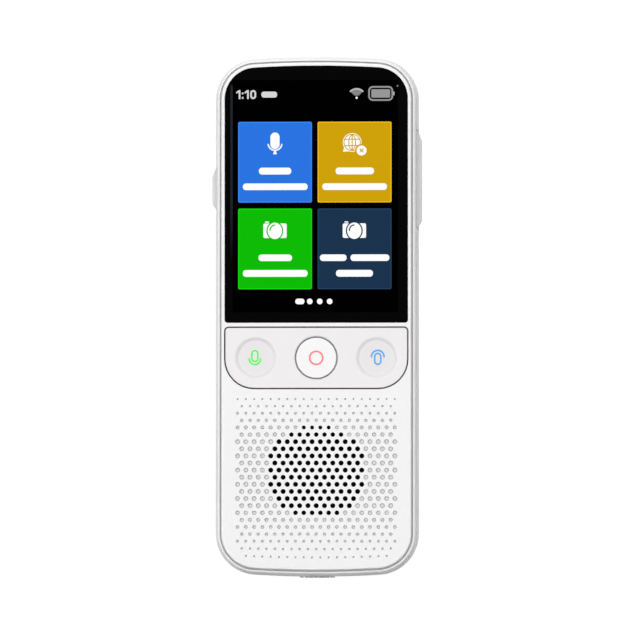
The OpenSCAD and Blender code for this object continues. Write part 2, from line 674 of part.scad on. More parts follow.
// A switch is a square body with a bore in which the key's plunger runs
module switch_at(x, y, z) difference() {
    translate([x - switch_w / 2, y - switch_w / 2, z]) cube([switch_w, switch_w, switch_h]);
    rod(x, y, plunger_r + 0.1, z + 0.25, z + switch_h + 1);
}
module rocker_plungers() color("black")
    for (s = [-1, 1]) rod(s * dish_x, panel_y, plunger_r, plunger_low, key_low);
module centre_plunger() color("black") rod(0, panel_y, plunger_r, plunger_low, cap_low);
module rocker_switches() color("silver") for (s = [-1, 1]) switch_at(s * dish_x, panel_y, keypad_top);
module centre_switch() color("silver") switch_at(0, panel_y, keypad_top);
module keypad_board() color("darkgreen")
    block(-keypad_w / 2, keypad_w / 2, panel_y - panel_h / 2, panel_y + panel_h / 2, keypad_z, keypad_top);
module key_leds() color("ivory") for (x = [-dish_x, 0, dish_x])
    block(x - 0.8, x + 0.8, panel_y + switch_w / 2 + 0.6, panel_y + switch_w / 2 + 1.4,
        keypad_top, keypad_top + 0.5);
module keypad_flex() color("orange") {
    y = panel_y + panel_h / 2;
    z = frame_top + 0.05;
    strip(-keypad_flex_w / 2, keypad_flex_w / 2, [[y, keypad_z], [y, keypad_z + flex_t], [y + 1, z + flex_t],
        [board_y0 + 1.2 + flex_t, z + flex_t], [board_y0 + 1.2 + flex_t, board_top],
        [board_y0 + 1.2, board_top], [board_y0 + 1.2, z], [y + 1, z]]);
}

// --- Side keys ---------------------------------------------------------------------------
flange_t = 0.6;                          // flange that keeps a side key from falling out
flange_x = case_w / 2 - wall_t - seam - flange_t;
fulcrum_r = 0.4;                         // round rib on which the volume key rocks
side_plunger_l = 0.5;
side_switch_t = 1.4;
flex_foot = 3;                           // how far a side flex runs past its switches' middles
flex_tail = 4;
side_switch_x = flange_x - side_plunger_l - side_switch_t;

// A side key for the +X side: cap with long sloped ends and bevelled edges, stem through the
// slot and flange behind the wall. The flange of a rocking key thins towards its ends.
low_slope_l = 1.5;                       // length of the slope at a cap's lower end
top_slope_l = 2.4;                       // and at its upper end
side_bevel = 0.25;
function cap_ring(length, drop) = let (
    x0 = case_w / 2 - 0.15, x1 = case_w / 2 + side_key_out - drop, low = -length / 2, top = length / 2) [
    [flange_x + eps, low], [x0, low], [x1 - 0.2, low + 0.7 * low_slope_l], [x1, low + low_slope_l],
    [x1, top - top_slope_l], [x1 - 0.2, top - 0.75 * top_slope_l], [x0, top], [flange_x + eps, top]];
module side_key(length, y, thinning) {
    translate([0, y, 0]) {
        loft([for (drop = [side_bevel, 0, 0, side_bevel]) cap_ring(length, drop)],
            [side_key_z0 + 0.1, side_key_z0 + 0.1 + side_bevel, side_key_z1 - side_bevel, side_key_z1]);
        end_t = flange_t - thinning;
        translate([0, 0, side_key_z0 - 0.6]) linear_extrude(side_key_z1 - side_key_z0 + 0.6) polygon([
            [flange_x, -length / 2 - 0.7], [flange_x + end_t, -length / 2 - 0.7],
            [flange_x + flange_t, -0.5], [flange_x + flange_t, 0.5],
            [flange_x + end_t, length / 2 + 0.7], [flange_x, length / 2 + 0.7]]);
    }
}
module power_key() color("whitesmoke") mirror([1, 0, 0]) side_key(power_l, power_y, 0);
module volume_key() color("whitesmoke") {
    side_key(volume_l, volume_y, 0.35);
    rod(flange_x, volume_y, fulcrum_r, side_key_z0 - 0.6, side_key_z1);
}

module side_switch(y) translate([side_switch_x, y, side_key_z]) rotate([0, 90, 0]) difference() {
    translate([-1.3, -2.3, 0]) cube([2.6, 4.6, side_switch_t]);
    translate([0, 0, 0.3]) cylinder(r = plunger_r + 0.12, h = side_switch_t);
}
module side_plunger(y) translate([flange_x - side_plunger_l - 0.45, y, side_key_z])
    rotate([0, 90, 0]) cylinder(r = plunger_r, h = side_plunger_l + 0.45);
// Flexible circuit behind the switches, with a tail on to the main board
module side_flex(y0, y1) {
    block(side_switch_x - flex_t, side_switch_x, y0, y1, side_key_z0, frame_low - 0.05);
    block(board_half_w - 3, side_switch_x, y1 - 0.8, y1, board_top, board_top + flex_t);
}
module power_switch() color("silver") mirror([1, 0, 0]) side_switch(power_y);
module power_plunger() color("black") mirror([1, 0, 0]) side_plunger(power_y);
module power_flex() color("orange")
    mirror([1, 0, 0]) side_flex(power_y - flex_foot, power_y + flex_tail);
module volume_switches() color("silver")
    for (s = [-1, 1]) side_switch(volume_y + s * volume_switch_y);
module volume_plungers() color("black")
    for (s = [-1, 1]) side_plunger(volume_y + s * volume_switch_y);
module volume_flex() color("orange")
    side_flex(volume_y - volume_switch_y - flex_foot, volume_y + volume_switch_y + flex_tail);

// --- Speaker -----------------------------------------------------------------------------
speaker_top = plate_z - 0.5;             // front of the basket, under the gasket
basket_low = speaker_top - basket_h;
cup_low = basket_low - cup_h;
cup_r = cup_d / 2;
coil_r = cup_r - 1.3;
cone_r = speaker_d / 2 - 1.45;
module at_speaker() translate([speaker_x, speaker_y, 0]) children();
module dust_mesh() color("black")
    rod(speaker_x, speaker_y, speaker_d / 2 - 1.4, plate_z - 0.2, plate_z - 0.02);
module speaker_gasket() color("dimgray")
    tube(speaker_x, speaker_y, speaker_d / 2, speaker_d / 2 - 1.35, speaker_top, plate_z);
module speaker_basket() color("slategray") at_speaker() rotate_extrude() polygon([
    [0, cup_low], [cup_r, cup_low], [cup_r, basket_low], [speaker_d / 2, basket_low],
    [speaker_d / 2, speaker_top], [speaker_d / 2 - 1.3, speaker_top],
    [speaker_d / 2 - 1.3, basket_low + 0.6], [cup_r - 0.6, basket_low + 0.6],
    [cup_r - 0.6, cup_low + 0.6], [0, cup_low + 0.6]]);
module speaker_magnet() color("gray")
    rod(speaker_x, speaker_y, coil_r - 0.5, cup_low + 0.6, cup_low + cup_h - 0.7);
module pole_plate() color("silver")
    rod(speaker_x, speaker_y, coil_r - 0.3, cup_low + cup_h - 0.7, cup_low + cup_h);
module voice_coil() color("peru") at_speaker() difference() {
    rod(0, 0, coil_r + 0.3, cup_low + 1.1, cone_z);
    rod(0, 0, coil_r, 0, big);
}
cone_z = basket_low + 1;
cone_t = 0.18;
// Thin dome over the coil, then a cone and a half-round surround
module speaker_cone() color("black") {
    dome = [for (i = [0 : 6]) let (t = i / 6) [coil_r * t, cone_z + 0.75 * (1 - t * t)]];
    surround = [for (i = [0 : 6]) let (t = 180 * i / 6)
        [cone_r - 1.5 - 1.5 * cos(t), cone_z + 0.2 + 0.7 * sin(t)]];
    line = concat(dome, [[coil_r + 0.4, cone_z]], surround);
    at_speaker() rotate_extrude() polygon(concat(line,
        [for (i = [len(line) - 1 : -1 : 0]) line[i] + [0, cone_t]]));
}

// --- Boards ------------------------------------------------------------------------------
module main_board() color("darkgreen") difference() {
    union() {
        block(-board_half_w, board_half_w, board_y0, board_y1, board_low, board_top);
        block(-8, 8, board_y1 - eps, board_y1 + 5, board_low, board_top);
    }
    block(camera_x - camera_w / 2 - 0.4, camera_x + camera_w / 2 + 0.4,
        camera_y - camera_w / 2 - 0.4, camera_y + camera_w / 2 + 0.4, 0, big);
    for (p = main_screw_at) rod(p[0], p[1], screw_r + 0.15, 0, big);
}
can_x = -7;
can_y = board_y1 - 16.45;
can_w = 20;
can_l = 15;
can_h = 1.7;
module shield_can() color("silver") difference() {
    block(can_x - can_w / 2, can_x + can_w / 2, can_y - can_l / 2, can_y + can_l / 2,
        board_low - can_h, board_low);
    block(can_x - can_w / 2 + 0.2, can_x + can_w / 2 - 0.2, can_y - can_l / 2 + 0.2,
        can_y + can_l / 2 - 0.2, board_low - can_h + 0.2, big);
}
processor_w = 11;
memory_w = 6;
memory_l = 10;
processor_x = can_x - can_w / 2 + 1.5;
memory_x = processor_x + processor_w + 0.8;
module processor() color("black") block(processor_x, processor_x + processor_w,
    can_y - processor_w / 2, can_y + processor_w / 2, board_low - 1.1, board_low);
module memory_chip() color("black") block(memory_x, memory_x + memory_w,
    can_y - memory_l / 2, can_y + memory_l / 2, board_low - 1, board_low);

// A microphone lies against its board's edge, with a rubber boot that reaches the wall
module microphone(x, y0, y1, z1) block(x - 1.9, x + 1.9, y0, y1, z1 - 1.1, z1);
module boot(x, y0, y1, z) difference() {
    block(x - 2.1, x + 2.1, y0, y1, z - 0.85, z + 0.85);
    translate([x, y0 - 1, z]) rotate([-90, 0, 0]) cylinder(r = mic_hole_r, h = y1 - y0 + 2);
}
module top_microphone() color("gold") microphone(mic_x, board_y1 + 2, board_y1 + 5, board_low);
module top_mic_boot() color("black")
    boot(mic_x, board_y1 + 5.02, case_l / 2 - wall_t - 0.15, mic_z);
module bottom_microphone() color("gold") microphone(bottom_mic_x, sub_y0, sub_y0 + 3, sub_low);
module bottom_mic_boot() color("black")
    boot(bottom_mic_x, 0.32 + wall_t - case_l / 2, sub_y0 - 0.02, bottom_mic_z);

module sub_board() color("darkgreen") difference() {
    block(-sub_half_w, sub_half_w, sub_y0, sub_y1, sub_low, sub_top);
    block(-port_w / 2 - 0.01, port_w / 2 + 0.01, sub_y0 - 1, port_y0 + port_l + 0.01, 0, big);
    for (p = sub_screw_at) rod(p[0], p[1], screw_r + 0.15, 0, big);
}
port_y0 = -port_out - case_l / 2;
// Flat-sided round-ended bar, from y = 0 towards -Y
module port_prism(grow, l) rotate([90, 0, 0]) linear_extrude(l) {
    half = (port_w - port_h) / 2;
    square([2 * half, port_h + 2 * grow], center = true);
    for (s = [-1, 1]) translate([s * half, 0]) circle(d = port_h + 2 * grow);
}
module port_shell() color("silver") translate([0, port_y0 + port_l, port_z]) difference() {
    port_prism(0, port_l);
    translate([0, -0.8, 0]) port_prism(-port_wall, port_l);
}
module port_tongue() color("black")
    block(-3.35, 3.35, port_y0 + 1.1, port_y0 + port_l - 0.8, port_z - 0.35, port_z + 0.35);

// Flexible circuit along one side, from the lower board to the main board
module sub_flex() color("orange") {
    z = frame_low - 0.03 - flex_t;
    strip(sub_half_w - 3.6, sub_half_w - 0.4, [[sub_y1 - 2, sub_top], [sub_y1 - 2, sub_top + flex_t],
        [sub_y1 - 0.4, sub_top + flex_t], [sub_y1 + 1, z + flex_t], [board_y0 - 0.9, z + flex_t],
        [board_y0, board_top + flex_t], [board_y0 + 0.8, board_top + flex_t],
        [board_y0 + 0.8, board_top], [board_y0, board_top], [board_y0 - 0.9, z],
        [sub_y1 + 1, z], [sub_y1 - 0.4, sub_top]]);
}

// --- Battery and antenna -----------------------------------------------------------------
battery_w = 2 * (frame_edge_x - battery_side);
battery_top = frame_low - 0.2;
battery_y1 = board_y0 - 1.6;
battery_low = battery_top - battery_t;
module battery() color("silver") translate([0, battery_y1 - battery_l / 2])
    slab(box_ring(battery_w, battery_l, 1.5, 1.5), battery_low, battery_top);
module battery_tape() color("black")
    block(2 - battery_w / 2, battery_w / 2 - 5.5, battery_y1 - battery_l + 3, battery_y1 - 3,
        battery_top, frame_low);
module battery_lead() color("orange")
    block(5, 10, battery_y1 - eps, board_y0 + 4, board_top, board_top + flex_t);
module antenna() color("peru")
    block(-antenna_w / 2, antenna_w / 2, sub_y0 + 6, sub_y0 + 6 + antenna_l, back_t, back_t + flex_t);
module antenna_spring() color("gold") {
    z0 = back_t + flex_t;
    strip(-10, -8.5, [[sub_y0 + 6.5, z0], [sub_y0 + 9, z0], [sub_y0 + 9, z0 + 0.2],
        [sub_y0 + 6.7, z0 + 0.2], [sub_y0 + 6.7, sub_low], [sub_y0 + 6.5, sub_low]]);
}

// --- Camera ------------------------------------------------------------------------------
camera_body_z = back_t + 2.2;
module camera_window() color("black")
    rod(camera_x, camera_y, window_r + window_ring, 0.1, window_pocket);
module camera_body() color("dimgray") {
    block(camera_x - camera_w / 2, camera_x + camera_w / 2, camera_y - camera_w / 2,
        camera_y + camera_w / 2, camera_body_z, frame_low - 0.05);
}
module camera_barrel() color("black")
    tube(camera_x, camera_y, barrel_r, barrel_r - 1.1, window_pocket + 0.1, camera_body_z);
module camera_lens() color("midnightblue")
    rod(camera_x, camera_y, barrel_r - 1.1, window_pocket + 0.4, window_pocket + 1.3);
module flash_lens() color("ivory") {
    rod(flash_x, camera_y, flash_r, 0.1, back_t);
    rod(flash_x, camera_y, flash_r - 0.4, back_t - eps, board_low);
}

rear_cover();
trim_ring();
front_shell();
mid_frame();
touch_glass();
glass_tape();
display_panel();
backlight();
display_flex();
key_plate();
left_symbol();
right_symbol();
rocker_plungers();
rocker_switches();
centre_key();
centre_symbol();
centre_plunger();
centre_switch();
keypad_board();
key_leds();
keypad_flex();
power_key();
power_plunger();
power_switch();
power_flex();
volume_key();
volume_plungers();
volume_switches();
volume_flex();
dust_mesh();
speaker_gasket();
speaker_basket();
speaker_cone();
voice_coil();
speaker_magnet();
pole_plate();
main_board();
shield_can();
processor();
memory_chip();
top_microphone();
top_mic_boot();
sub_board();
port_shell();
port_tongue();
bottom_microphone();
bottom_mic_boot();
sub_flex();
battery();
battery_tape();
battery_lead();
antenna();
antenna_spring();
camera_body();
camera_barrel();
camera_lens();
camera_window();
flash_lens();
case_screws();
board_screws();
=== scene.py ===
"""Handheld voice translator: materials, screen picture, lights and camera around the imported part."""
import json
import math

import bmesh
import bpy
from mathutils import Matrix, Vector


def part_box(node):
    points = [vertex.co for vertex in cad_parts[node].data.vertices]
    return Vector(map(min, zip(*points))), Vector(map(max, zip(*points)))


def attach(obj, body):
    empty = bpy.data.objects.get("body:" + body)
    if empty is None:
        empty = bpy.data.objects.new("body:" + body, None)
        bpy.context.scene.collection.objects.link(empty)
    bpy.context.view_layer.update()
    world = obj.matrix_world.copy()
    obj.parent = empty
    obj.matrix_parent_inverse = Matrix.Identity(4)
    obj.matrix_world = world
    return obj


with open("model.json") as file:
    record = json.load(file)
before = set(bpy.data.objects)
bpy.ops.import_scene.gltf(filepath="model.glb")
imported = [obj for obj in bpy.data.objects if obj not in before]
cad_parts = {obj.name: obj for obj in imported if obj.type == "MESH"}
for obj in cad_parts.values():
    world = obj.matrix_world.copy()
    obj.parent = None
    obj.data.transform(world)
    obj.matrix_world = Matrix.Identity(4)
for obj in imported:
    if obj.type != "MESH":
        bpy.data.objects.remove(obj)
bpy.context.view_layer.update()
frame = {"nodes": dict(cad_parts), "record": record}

MM = 0.001
# The photograph's scale: where a feature seen at a pixel lies on the front face, in millimetres
PX = 0.25
CENTRE_PX = (316.2, 316.0)


def at(px, py):
    """Place on the front face, in millimetres, of a point given in the photograph's pixels."""
    return (px - CENTRE_PX[0]) * PX, (CENTRE_PX[1] - py) * PX


# ---------------------------------------------------------------------------------------------
# Materials
# ---------------------------------------------------------------------------------------------
def linear(srgb):
    """An 8-bit sRGB colour as linear RGBA."""
    out = []
    for value in srgb:
        c = value / 255
        out.append(c / 12.92 if c <= 0.04045 else ((c + 0.055) / 1.055) ** 2.4)
    return (*out, 1.0)


def math_node(tree, operation, a, b=None):
    """A Math node; each input is a number or another node's output."""
    node = tree.nodes.new("ShaderNodeMath")
    node.operation = operation
    for socket, value in zip(node.inputs, (a, b)):
        if isinstance(value, (int, float)):
            socket.default_value = value
        elif value is not None:
            tree.links.new(value, socket)
    return node.outputs[0]


class Shader:
    """A Principled material with helpers for its procedural detail."""

    def __init__(self, name, srgb, rough=0.5, metal=0.0, coat=0.0, coat_rough=0.1, ior=1.5):
        self.mat = bpy.data.materials.new(name)
        self.mat.use_nodes = True
        self.tree = self.mat.node_tree
        self.bsdf = self.tree.nodes["Principled BSDF"]
        self.colour = linear(srgb)
        self.set("Base Color", self.colour)
        self.set("Roughness", rough)
        self.set("Metallic", metal)
        self.set("Coat Weight", coat)
        self.set("Coat Roughness", coat_rough)
        self.set("IOR", ior)
        self.mat.diffuse_color = self.colour

    def set(self, socket, value):
        self.bsdf.inputs[socket].default_value = value

    def node(self, kind, **values):
        """A new node, with values for its sockets or its settings."""
        node = self.tree.nodes.new(kind)
        for key, value in values.items():
            if key in node.inputs:
                node.inputs[key].default_value = value
            else:
                setattr(node, key, value)
        return node

    def link(self, a, b):
        self.tree.links.new(a, b)

    def noise(self, scale, detail=3.0, stretch=(1, 1, 1)):
        coord = self.node("ShaderNodeTexCoord")
        mapping = self.node("ShaderNodeMapping")
        mapping.inputs["Scale"].default_value = stretch
        self.link(coord.outputs["Object"], mapping.inputs["Vector"])
        noise = self.node("ShaderNodeTexNoise", Scale=scale, Detail=detail, Roughness=0.55)
        self.link(mapping.outputs["Vector"], noise.inputs["Vector"])
        return noise.outputs["Fac"]

    def ramp(self, fac, low, high, socket):
        """A socket that follows a factor from one colour to another."""
        ramp = self.node("ShaderNodeValToRGB")
        ramp.color_ramp.elements[0].position = 0.3
        ramp.color_ramp.elements[1].position = 0.7
        ramp.color_ramp.elements[0].color = low
        ramp.color_ramp.elements[1].color = high
        self.link(fac, ramp.inputs["Fac"])
        self.link(ramp.outputs["Color"], self.bsdf.inputs[socket])
        return self

    def mottle(self, scale, amount):
        """Slight unevenness of the colour."""
        shade = [max(0.0, c * (1 - amount)) for c in self.colour[:3]]
        return self.ramp(self.noise(scale), (*shade, 1.0), self.colour, "Base Color")

    def uneven(self, scale, low, high, stretch=(1, 1, 1)):
        """Slight unevenness of the gloss."""
        return self.ramp(self.noise(scale, 4.0, stretch), (low, low, low, 1), (high, high, high, 1),
                         "Roughness")

    def grain(self, scale, height_mm, stretch=(1, 1, 1), strength=0.5):
        """Fine relief of the surface."""
        bump = self.node("ShaderNodeBump", Strength=strength, Distance=height_mm * MM)
        self.link(self.noise(scale, 2.0, stretch), bump.inputs["Height"])
        self.link(bump.outputs["Normal"], self.bsdf.inputs["Normal"])
        return self

    def painted_shade_by_height(self, stops, zones=()):
        """Painted shade: scale the colour by factors given at heights above the back, in millimetres.

        Each zone is (half width, lowest y, highest y); with zones, only these are changed."""
        coord = self.node("ShaderNodeTexCoord")
        place = self.node("ShaderNodeSeparateXYZ")
        self.link(coord.outputs["Object"], place.inputs[0])
        x, y, z = place.outputs
        low, high = stops[0][0], stops[-1][0]
        share = math_node(self.tree, "DIVIDE", math_node(self.tree, "SUBTRACT", z, low * MM),
                          (high - low) * MM)
        ramp = self.node("ShaderNodeValToRGB")
        elements = ramp.color_ramp.elements
        while len(elements) < len(stops):
            elements.new(0.5)
        for element, (height, factor) in zip(elements, stops):
            element.position = (height - low) / (high - low)
            element.color = (factor, factor, factor, 1.0)
        self.link(share, ramp.inputs["Fac"])
        mix = self.node("ShaderNodeMix", data_type="RGBA", blend_type="MULTIPLY")
        mix.inputs[0].default_value = 1.0
        shaded_zones = 0.0
        for half, y0, y1 in zones:
            zone = math_node(self.tree, "LESS_THAN", math_node(self.tree, "ABSOLUTE", x), half * MM)
            for operation, edge in (("GREATER_THAN", y0), ("LESS_THAN", y1)):
                zone = math_node(self.tree, "MULTIPLY", zone,
                                 math_node(self.tree, operation, y, edge * MM))
            shaded_zones = math_node(self.tree, "MAXIMUM", zone, shaded_zones)
        if zones:
            self.link(shaded_zones, mix.inputs[0])
        self.link(self.bsdf.inputs["Base Color"].links[0].from_socket, mix.inputs[6])
        self.link(ramp.outputs["Color"], mix.inputs[7])
        self.link(mix.outputs[2], self.bsdf.inputs["Base Color"])
        return self

    def glow(self, strength, srgb=None):
        """Light of its own, in its own colour or another."""
        self.set("Emission Color", linear(srgb) if srgb else self.colour)
        self.set("Emission Strength", strength)
        return self


def plastic(name, srgb, rough, coat=0.0):
    """Moulded plastic with a fine satin texture."""
    shader = Shader(name, srgb, rough, coat=coat)
    shader.mottle(90, 0.012).uneven(600, rough - 0.04, rough + 0.05)
    return shader.grain(9000, 0.004, strength=0.25)


def metal(name, srgb, rough, stretch=(1, 1, 1)):
    """Metal with fine brush or drawing marks along one axis."""
    shader = Shader(name, srgb, rough, metal=1.0)
    shader.mottle(300, 0.06).uneven(2500, rough * 0.8, rough * 1.25, stretch)
    return shader.grain(4000, 0.003, stretch=stretch, strength=0.3)


def rubber(name, srgb):
    """Matt rubber or foam."""
    shader = Shader(name, srgb, 0.75)
    shader.mottle(700, 0.25)
    return shader.grain(5000, 0.01, strength=0.5)


materials = {
    "white_case": plastic("case plastic", (240, 240, 240), 0.34, 0.25),
    "front_white": plastic("front plastic", (243, 243, 243), 0.36, 0.2),
    "trim_white": plastic("trim", (233, 233, 234), 0.3, 0.3),
    "key_white": plastic("key plastic", (239, 236, 237), 0.38, 0.15),
    "side_key": plastic("side key", (227, 227, 228), 0.32, 0.3),
    "frame_alloy": metal("cast frame", (120, 122, 126), 0.5),
    "black_tape": rubber("black foam", (22, 22, 23)),
    "backlight": plastic("diffuser", (226, 226, 230), 0.5),
    "black_plastic": plastic("black plastic", (24, 24, 25), 0.42),
    "switch_steel": metal("stamped steel", (190, 190, 192), 0.32, (0.1, 1, 1)),
    "led_white": plastic("led package", (240, 236, 205), 0.4),
    "basket": plastic("coated steel", (46, 48, 50), 0.45),
    "cone": plastic("diaphragm", (34, 34, 36), 0.5),
    "magnet": metal("nickel", (160, 160, 164), 0.28),
    "steel": metal("bright steel", (188, 188, 192), 0.26, (1, 1, 0.1)),
    "chip": plastic("chip package", (30, 30, 32), 0.55),
    "gold": metal("gold plate", (214, 176, 96), 0.3),
    "copper": metal("enamelled copper", (178, 100, 56), 0.35, (1, 1, 0.05)),
    "cell_foil": metal("cell foil", (176, 178, 182), 0.38),
    "flash_clear": plastic("flash lens", (238, 232, 205), 0.3, 0.6),
}
materials["flex"] = Shader("polyimide", (176, 104, 28), 0.35, coat=0.4).mottle(400, 0.2)
materials["board_green"] = Shader("solder mask", (22, 74, 44), 0.35, coat=0.5).mottle(800, 0.3)
materials["cover_glass"] = Shader("cover glass", (5, 5, 6), 0.05).mottle(40, 0.2)
materials["lcd"] = Shader("display panel", (24, 28, 40), 0.12, coat=0.5, coat_rough=0.03).mottle(60, 0.2)
materials["lens"] = Shader("coated lens", (14, 18, 44), 0.03, coat=1.0, coat_rough=0.01).mottle(900, 0.5)
materials["window"] = Shader("camera window", (9, 9, 10), 0.06, coat=0.6, coat_rough=0.03).mottle(60, 0.2)
materials["green_symbol"] = Shader("green symbol", (84, 222, 84), 0.35).mottle(900, 0.05).glow(0.25)
materials["blue_symbol"] = Shader("blue symbol", (76, 154, 220), 0.35).mottle(900, 0.05).glow(0.25)
materials["red_symbol"] = Shader("red symbol", (236, 114, 119), 0.35).mottle(900, 0.05).glow(0.25)


def woven(name, srgb, pitch_mm):
    """Fine woven mesh: two crossed waves as bump and colour."""
    shader = Shader(name, srgb, 0.8)
    heights = []
    for axis in (0, 1):
        coord = shader.node("ShaderNodeTexCoord")
        wave = shader.node("ShaderNodeTexWave", Scale=math.pi / (10 * pitch_mm * MM), Distortion=0.0)
        wave.bands_direction = "XY"[axis]
        shader.link(coord.outputs["Object"], wave.inputs["Vector"])
        heights.append(wave.outputs["Fac"])
    both = shader.node("ShaderNodeMath", operation="MAXIMUM")
    shader.link(heights[0], both.inputs[0])
    shader.link(heights[1], both.inputs[1])
    bump = shader.node("ShaderNodeBump", Strength=0.6, Distance=0.03 * MM)
    shader.link(both.outputs[0], bump.inputs["Height"])
    shader.link(bump.outputs["Normal"], shader.bsdf.inputs["Normal"])
    dark = [c * 0.4 for c in shader.colour[:3]]
    return shader.ramp(both.outputs[0], (*dark, 1.0), shader.colour, "Base Color")


materials["mesh_black"] = woven("dust mesh", (8, 8, 9), 0.25)
materials["mesh_black"].set("Specular IOR Level", 0.15)

# Painted shade: the plastic's colour is darkened by height in the grille's dimples, in its open holes, in
# the dishes and in the joints round the keys, where shade falls
DIMPLE_WALL_SHADE, DIMPLE_FLOOR_SHADE, DISH_FLOOR_SHADE, KEY_SIDE_SHADE, HOLE_WALL_SHADE = 0.62, 0.76, 0.93, 0.6, 0.02
materials["front_white"].painted_shade_by_height(
    [(11.4, HOLE_WALL_SHADE), (12.40, HOLE_WALL_SHADE), (12.46, DIMPLE_FLOOR_SHADE), (12.52, DIMPLE_FLOOR_SHADE),
     (12.56, DIMPLE_WALL_SHADE), (12.94, DIMPLE_WALL_SHADE), (12.99, 1.0), (13.1, 1.0)],
    [(23.3, -19.0, -2.2), (21.0, -57.2, -19.0), (19.3, -59.2, -57.2), (18.2, -61.4, -59.2)])
# Painted shade on the keys: darker down their sides and holes and on the dishes' floors
materials["key_white"].painted_shade_by_height(
    [(11.4, HOLE_WALL_SHADE), (11.7, HOLE_WALL_SHADE), (11.9, KEY_SIDE_SHADE), (12.35, DISH_FLOOR_SHADE), (12.95, 1.0),
     (13.1, 1.0)])

centre_white = plastic("centre key plastic", (246, 246, 246), 0.38, 0.15)

slot_of = {entry["node"]: entry["material_slot"] for entry in frame["record"]["subparts"]}
for name, obj in frame["nodes"].items():
    mat = (centre_white if name == "centre_key" else materials[slot_of[name]]).mat
    if not obj.material_slots:
        obj.data.materials.append(mat)
    for slot in obj.material_slots:
        slot.material = mat

# ---------------------------------------------------------------------------------------------
# Thin pieces of the screen picture
# ---------------------------------------------------------------------------------------------
GLASS_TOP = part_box("touch_glass")[1][2] / MM
LAYER = 0.0048         # height of one layer of the picture, in millimetres


def prism(name, loops, z0, z1, shader, body="case"):
    """A closed flat piece from outlines in millimetres. Each outline is [outer, hole, hole...]."""
    curve = bpy.data.curves.new(name, "CURVE")
    curve.dimensions = "2D"
    curve.fill_mode = "BOTH"
    curve.extrude = (z1 - z0) / 2 * MM
    for loop in loops:
        spline = curve.splines.new("POLY")
        spline.points.add(len(loop) - 1)
        for point, (x, y) in zip(spline.points, loop):
            point.co = (x * MM, y * MM, 0, 1)
        spline.use_cyclic_u = True
    temp = bpy.data.objects.new(name + "_curve", curve)
    bpy.context.scene.collection.objects.link(temp)
    bpy.context.view_layer.update()
    mesh = bpy.data.meshes.new_from_object(temp.evaluated_get(bpy.context.evaluated_depsgraph_get()))
    bpy.data.objects.remove(temp)
    mesh.name = name
    mesh.transform(Matrix.Translation((0, 0, (z0 + z1) / 2 * MM)))
    clean = bmesh.new()
    clean.from_mesh(mesh)
    bmesh.ops.remove_doubles(clean, verts=clean.verts, dist=1e-7)
    bmesh.ops.recalc_face_normals(clean, faces=clean.faces)
    clean.to_mesh(mesh)
    clean.free()
    mesh.materials.clear()
    mesh.materials.append(shader.mat)
    obj = bpy.data.objects.new(name, mesh)
    bpy.context.scene.collection.objects.link(obj)
    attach(obj, body)
    return obj


def arc(x, y, r, start, end, steps=16):
    return [(x + r * math.cos(math.radians(start + (end - start) * i / steps)),
             y + r * math.sin(math.radians(start + (end - start) * i / steps)))
            for i in range(steps + 1)]


def rounded(x0, y0, x1, y1, r, steps=5):
    """Rounded rectangle between two corners."""
    r = min(r, (x1 - x0) / 2 - 1e-4, (y1 - y0) / 2 - 1e-4)
    return (arc(x1 - r, y0 + r, r, -90, 0, steps) + arc(x1 - r, y1 - r, r, 0, 90, steps)
            + arc(x0 + r, y1 - r, r, 90, 180, steps) + arc(x0 + r, y0 + r, r, 180, 270, steps))


def px_box(left, top, right, bottom, r_px):
    x0, y1 = at(left, top)
    x1, y0 = at(right, bottom)
    return rounded(x0, y0, x1, y1, r_px * PX)


def circle(px, py, r_px, steps=32):
    x, y = at(px, py)
    return arc(x, y, r_px * PX, 0, 360 - 360 / steps, steps - 1)


def stroke(points, width):
    """Outline of a line through points, with round ends, in millimetres."""
    half = width / 2
    left, right = [], []
    count = len(points)
    for i, (x, y) in enumerate(points):
        x0, y0 = points[max(i - 1, 0)]
        x1, y1 = points[min(i + 1, count - 1)]
        angle = math.atan2(y1 - y0, x1 - x0)
        nx, ny = -math.sin(angle) * half, math.cos(angle) * half
        left.append((x + nx, y + ny))
        right.append((x - nx, y - ny))
    end = math.degrees(math.atan2(points[-1][1] - points[-2][1], points[-1][0] - points[-2][0]))
    start = math.degrees(math.atan2(points[0][1] - points[1][1], points[0][0] - points[1][0]))
    return (left + arc(*points[-1], half, end + 90, end - 90, 8)[1:-1]
            + right[::-1] + arc(*points[0], half, start + 90, start - 90, 8)[1:-1])


def screen_colour(name, srgb, glow=0.75):
    """Lit part of the display under glossy glass."""
    shader = Shader(name, [c * 0.55 for c in srgb], 0.1, coat=0.4, coat_rough=0.03)
    shader.mottle(500, 0.02)
    return shader.glow(glow, srgb)


WHITE = screen_colour("screen white", (250, 250, 250), 0.8)
